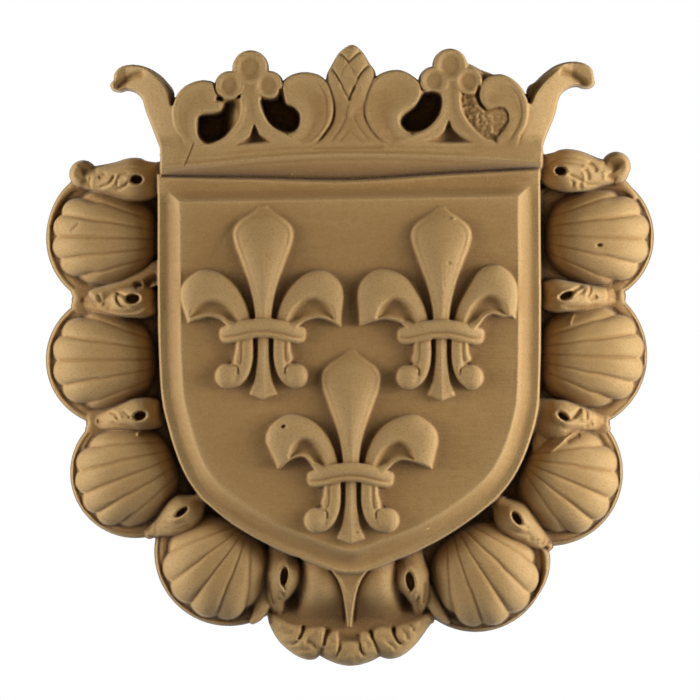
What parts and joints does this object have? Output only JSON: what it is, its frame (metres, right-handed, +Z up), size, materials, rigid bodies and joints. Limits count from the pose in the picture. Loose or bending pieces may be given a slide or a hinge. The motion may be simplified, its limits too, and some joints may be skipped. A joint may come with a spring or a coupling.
{
  "type": "decorative shield",
  "caption": "Moulded heraldic onlay: a crowned shield with lilies in relief, framed by scallop shells and leaf scrolls, with a flat back for fixing to a surface.",
  "frame": {"origin": "on the flat back, in the middle of the ornament's width and height", "axes": "+X to the right seen from the front, +Y out of the back into what carries it, +Z up; the relief faces -Y"},
  "size_m": [0.2547, 0.0414, 0.2597],
  "materials": {
    "onlay": "raw, matt, tan, darker in the hollows and rubbed paler on the edges"
  },
  "bodies": {
    "root": {"shield_onlay": "onlay"}
  },
  "joints": []
}
